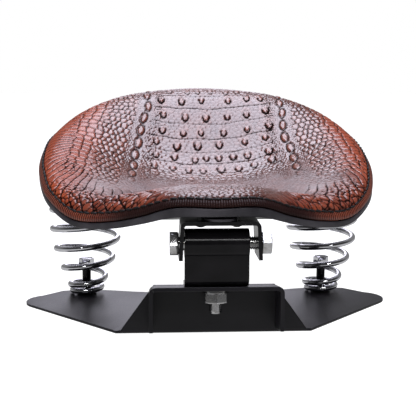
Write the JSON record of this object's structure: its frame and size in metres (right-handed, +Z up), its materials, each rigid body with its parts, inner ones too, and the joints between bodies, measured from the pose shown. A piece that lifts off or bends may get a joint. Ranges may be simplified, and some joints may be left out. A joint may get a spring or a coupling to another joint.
{
  "type": "motorcycle seat",
  "caption": "Sprung solo saddle: embossed leather bucket seat on a front hinge and conical coil springs over a bent steel base plate.",
  "frame": {"origin": "middle of the footprint, on the ground plane under the base plate", "axes": "+Z up, -Y towards the nose, +X to the right of someone who stands in front and faces the nose"},
  "size_m": [0.311, 0.2796, 0.1815],
  "materials": {
    "powder_black": "satin black powder coat",
    "gloss_black": "gloss black paint",
    "chrome": "bright chrome plate",
    "zinc_plate": "bright zinc plate",
    "bronze": "plain bearing bronze",
    "pan_black": "black paint",
    "leather": "glossy brown leather with a deep scale embossing",
    "thread": "waxed black thread",
    "trim_rubber": "dark grey, satin",
    "foam": "moulded foam"
  },
  "bodies": {
    "base": {"base_plate": "powder_black", "front_bracket": "powder_black", "hinge_block": "gloss_black", "pivot_bush": "bronze", "foot_bolt": "zinc_plate", "foot_washer": "zinc_plate", "foot_nut": "zinc_plate", "spring_left": "chrome", "spring_right": "chrome", "spring_post_left": "gloss_black", "spring_post_right": "gloss_black", "post_bolt_left": "chrome", "post_bolt_right": "chrome"},
    "seat": {"pivot_bracket": "gloss_black", "pivot_bolt": "zinc_plate", "pivot_nut": "zinc_plate", "bracket_screw_left": "zinc_plate", "bracket_screw_right": "zinc_plate", "bracket_nut_left": "zinc_plate", "bracket_nut_right": "zinc_plate", "bracket_spacer": "trim_rubber", "seat_pan": "pan_black", "spring_perch_left": "pan_black", "spring_perch_right": "pan_black", "perch_bolt_left": "zinc_plate", "perch_bolt_right": "zinc_plate", "perch_nut_left": "zinc_plate", "perch_nut_right": "zinc_plate", "foam_cushion": "foam", "leather_cover": "leather", "border_band": "leather", "edge_trim": "trim_rubber", "rim_stitching": "thread", "cover_rivet_1": "zinc_plate", "cover_rivet_2": "zinc_plate", "cover_rivet_3": "zinc_plate", "cover_rivet_4": "zinc_plate", "cover_rivet_5": "zinc_plate", "cover_rivet_6": "zinc_plate", "cover_rivet_7": "zinc_plate"}
  },
  "joints": [
    {"name": "seat_tilt", "type": "hinge", "parent": "base", "child": "seat", "pos_m": [0, -0.1235, 0.0742], "axis": [1, 0, 0], "range_deg": [-9, 0], "stiffness_Nm_per_rad": 800, "deforming": ["spring_left", "spring_right"]}
  ]
}
